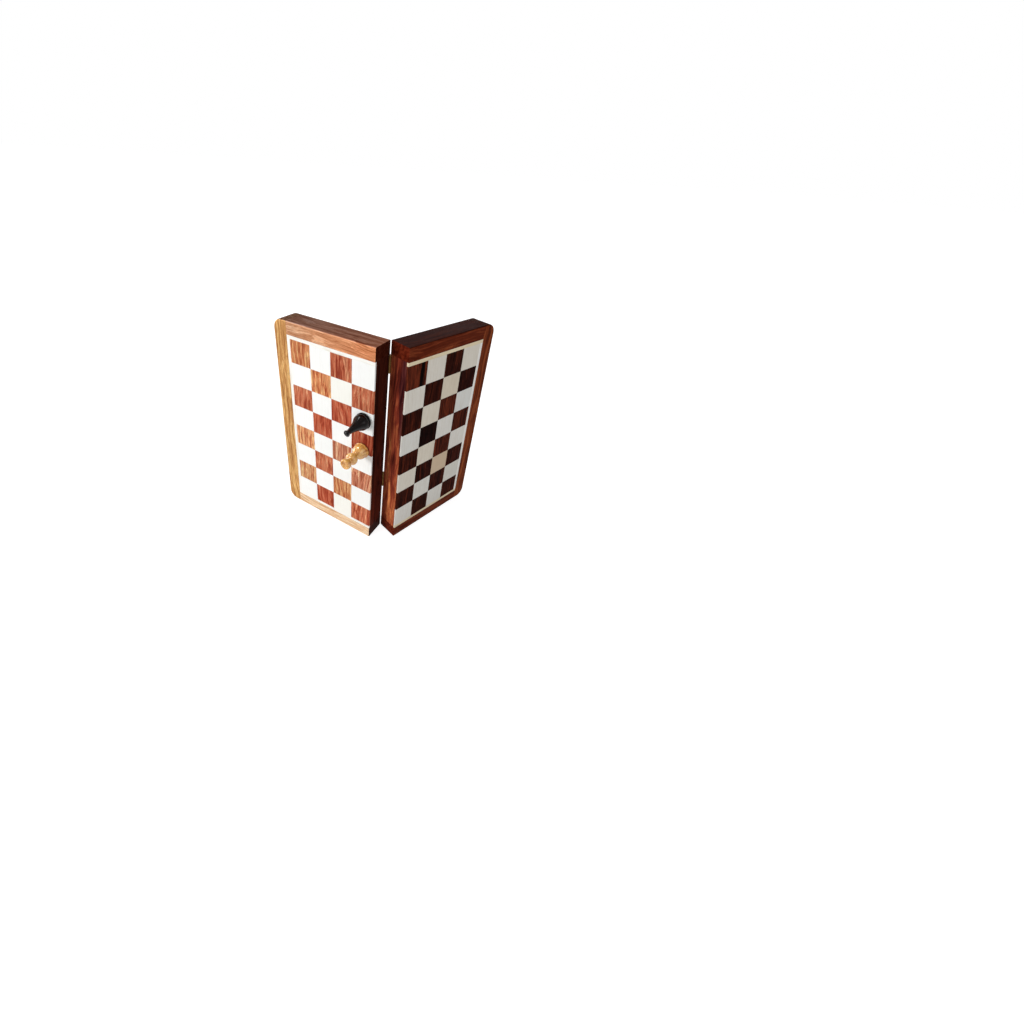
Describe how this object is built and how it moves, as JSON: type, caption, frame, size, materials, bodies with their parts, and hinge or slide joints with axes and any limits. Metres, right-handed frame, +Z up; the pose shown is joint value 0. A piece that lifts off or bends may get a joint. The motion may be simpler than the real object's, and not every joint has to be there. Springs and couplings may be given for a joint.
{
  "type": "folding chess set",
  "caption": "Wooden chess case whose hinged halves open into a chequered board or close into a box, with magnetic turned pieces kept in foam trays inside.",
  "frame": {"origin": "on the floor under the middle of the whole set as it stands on its end, half folded", "axes": "+Z up, along the hinge line and the long side of each half; -Y towards the viewer, along the line that halves the angle between the playing faces; +X towards the right half"},
  "size_m": [0.2406, 0.1187, 0.254],
  "materials": {
    "rail_wood": "varnished rosewood, satin",
    "spine_wood": "varnished dark rosewood, satin",
    "dark_square_wood": "rosewood veneer, satin",
    "light_square_wood": "maple veneer, satin",
    "border_wood": "maple strip, satin",
    "plywood": "raw plywood",
    "steel_sheet": "thin zinc-plated sheet",
    "tray_foam": "flocked foam, matt",
    "tray_lining": "short velvet",
    "magnet": "nickel plate",
    "foot_felt": "wool felt",
    "hinge_brass": "drawn brass, slightly dulled",
    "hinge_screws": "turned brass",
    "black_lacquered_wood": "black lacquer, gloss",
    "pale_lacquered_wood": "clear-lacquered boxwood, gloss"
  },
  "bodies": {
    "left_half": {"black_bishops": "black_lacquered_wood", "black_knights": "black_lacquered_wood", "black_pawns": "black_lacquered_wood", "black_queen": "black_lacquered_wood", "black_rooks": "black_lacquered_wood", "black_store_felts": "foot_felt", "black_store_magnets": "magnet", "left_border_strips": "border_wood", "left_bottom_rail": "rail_wood", "left_closing_magnets": "magnet", "left_dark_squares": "dark_square_wood", "left_foam_tray": "tray_foam", "left_hinge_screws": "hinge_screws", "left_light_squares": "light_square_wood", "left_outer_rail": "rail_wood", "left_panel": "plywood", "left_spine_rail": "spine_wood", "left_steel_sheet": "steel_sheet", "left_top_rail": "rail_wood", "left_tray_lining": "tray_lining", "lower_hinge_left_leaf": "hinge_brass", "lower_hinge_pin": "hinge_brass", "upper_hinge_left_leaf": "hinge_brass", "upper_hinge_pin": "hinge_brass"},
    "right_half": {"lower_hinge_right_leaf": "hinge_brass", "right_border_strips": "border_wood", "right_bottom_rail": "rail_wood", "right_closing_magnets": "magnet", "right_dark_squares": "dark_square_wood", "right_foam_tray": "tray_foam", "right_hinge_screws": "hinge_screws", "right_light_squares": "light_square_wood", "right_outer_rail": "rail_wood", "right_panel": "plywood", "right_spine_rail": "spine_wood", "right_steel_sheet": "steel_sheet", "right_top_rail": "rail_wood", "right_tray_lining": "tray_lining", "upper_hinge_right_leaf": "hinge_brass", "white_bishops": "pale_lacquered_wood", "white_king": "pale_lacquered_wood", "white_knights": "pale_lacquered_wood", "white_pawns": "pale_lacquered_wood", "white_rooks": "pale_lacquered_wood", "white_store_felts": "foot_felt", "white_store_magnets": "magnet"},
    "black_king_piece": {"black_king": "black_lacquered_wood", "black_king_felt": "foot_felt", "black_king_magnet": "magnet"},
    "white_queen_piece": {"white_queen": "pale_lacquered_wood", "white_queen_felt": "foot_felt", "white_queen_magnet": "magnet"}
  },
  "joints": [
    {"name": "case_fold", "type": "hinge", "parent": "left_half", "child": "right_half", "pos_m": [0, -0.01665, 0.127], "axis": [0, 0, 1], "range_deg": [-72, 108]},
    {"name": "black_king_lift", "type": "slide", "parent": "left_half", "child": "black_king_piece", "axis": [-0.5878, -0.809, 0], "range_m": [0, 0.06]},
    {"name": "white_queen_lift", "type": "slide", "parent": "left_half", "child": "white_queen_piece", "axis": [-0.5878, -0.809, 0], "range_m": [0, 0.06]}
  ]
}
